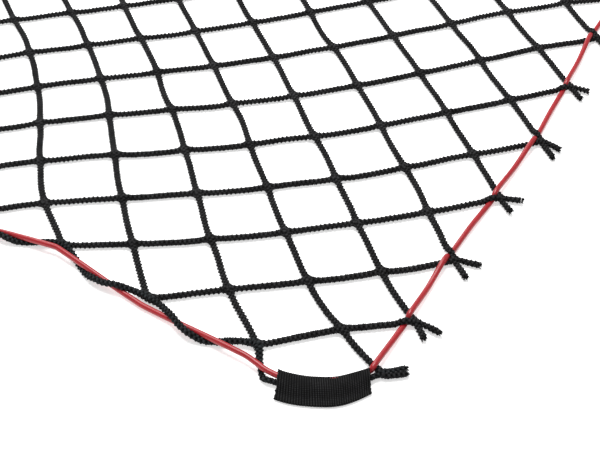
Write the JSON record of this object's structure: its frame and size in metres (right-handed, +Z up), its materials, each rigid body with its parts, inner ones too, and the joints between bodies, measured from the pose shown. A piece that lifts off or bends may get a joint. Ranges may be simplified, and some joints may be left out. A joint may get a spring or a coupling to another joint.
{
  "type": "climbing net",
  "caption": "Knotless diamond-mesh climbing net laid flat, with a red border cord threaded through its outer meshes and a woven sleeve on each corner.",
  "frame": {"origin": "on the floor under the middle of the whole net, tails included", "axes": "+X along the cut edges, the long way of the net; +Y along the selvedges; +Z up"},
  "size_m": [1.4834, 1.2187, 0.0166],
  "materials": {
    "net_rope": "matt black braided cord",
    "border_cord": "smooth satin red sheath",
    "sleeve": "matt black ribbed weave",
    "joiner": "pressed metal"
  },
  "bodies": {
    "near_half": {"falling_strand_01": "net_rope", "falling_strand_02": "net_rope", "falling_strand_03": "net_rope", "falling_strand_04": "net_rope", "falling_strand_05": "net_rope", "falling_strand_06_near": "net_rope", "falling_strand_07_near": "net_rope", "falling_strand_08_near": "net_rope", "falling_strand_09_near": "net_rope", "falling_strand_10_near": "net_rope", "falling_strand_11_near": "net_rope", "falling_strand_12_near": "net_rope", "falling_strand_13_near": "net_rope", "rising_strand_01": "net_rope", "rising_strand_02": "net_rope", "rising_strand_03": "net_rope", "rising_strand_04": "net_rope", "rising_strand_05": "net_rope", "rising_strand_06_near": "net_rope", "rising_strand_07_near": "net_rope", "rising_strand_08_near": "net_rope", "rising_strand_09_near": "net_rope", "rising_strand_10_near": "net_rope", "rising_strand_11_near": "net_rope", "rising_strand_12_near": "net_rope", "rising_strand_13_near": "net_rope", "selvedge_strand_left": "net_rope", "border_cord_near": "border_cord"},
    "far_half": {"falling_strand_06_far": "net_rope", "falling_strand_07_far": "net_rope", "falling_strand_08_far": "net_rope", "falling_strand_09_far": "net_rope", "falling_strand_10_far": "net_rope", "falling_strand_11_far": "net_rope", "falling_strand_12_far": "net_rope", "falling_strand_13_far": "net_rope", "falling_strand_14": "net_rope", "falling_strand_15": "net_rope", "falling_strand_16": "net_rope", "falling_strand_17": "net_rope", "rising_strand_06_far": "net_rope", "rising_strand_07_far": "net_rope", "rising_strand_08_far": "net_rope", "rising_strand_09_far": "net_rope", "rising_strand_10_far": "net_rope", "rising_strand_11_far": "net_rope", "rising_strand_12_far": "net_rope", "rising_strand_13_far": "net_rope", "rising_strand_14": "net_rope", "rising_strand_15": "net_rope", "rising_strand_16": "net_rope", "rising_strand_17": "net_rope", "selvedge_strand_right": "net_rope", "border_cord_far": "border_cord", "cord_joiner": "joiner"},
    "sleeve_1": {"sleeve_1": "sleeve"},
    "sleeve_2": {"sleeve_2": "sleeve"},
    "sleeve_3": {"sleeve_3": "sleeve"},
    "sleeve_4": {"sleeve_4": "sleeve"}
  },
  "joints": [
    {"name": "fold_in_half", "type": "hinge", "parent": "near_half", "child": "far_half", "pos_m": [0.03425, 0, 0.018], "axis": [0, -1, 0], "range_deg": [0, 175]},
    {"name": "sleeve_1_slide", "type": "hinge", "parent": "near_half", "child": "sleeve_1", "pos_m": [-0.61, -0.4754, 0.0062], "axis": [0, 0, 1], "range_deg": [-1.5, 1.5]},
    {"name": "sleeve_2_slide", "type": "hinge", "parent": "near_half", "child": "sleeve_2", "pos_m": [-0.61, 0.4726, 0.0062], "axis": [0, 0, 1], "range_deg": [-1.5, 1.5]},
    {"name": "sleeve_3_slide", "type": "hinge", "parent": "far_half", "child": "sleeve_3", "pos_m": [0.61, -0.4754, 0.0062], "axis": [0, 0, 1], "range_deg": [-1.5, 1.5]},
    {"name": "sleeve_4_slide", "type": "hinge", "parent": "far_half", "child": "sleeve_4", "pos_m": [0.61, 0.4726, 0.0062], "axis": [0, 0, 1], "range_deg": [-1.5, 1.5]}
  ]
}
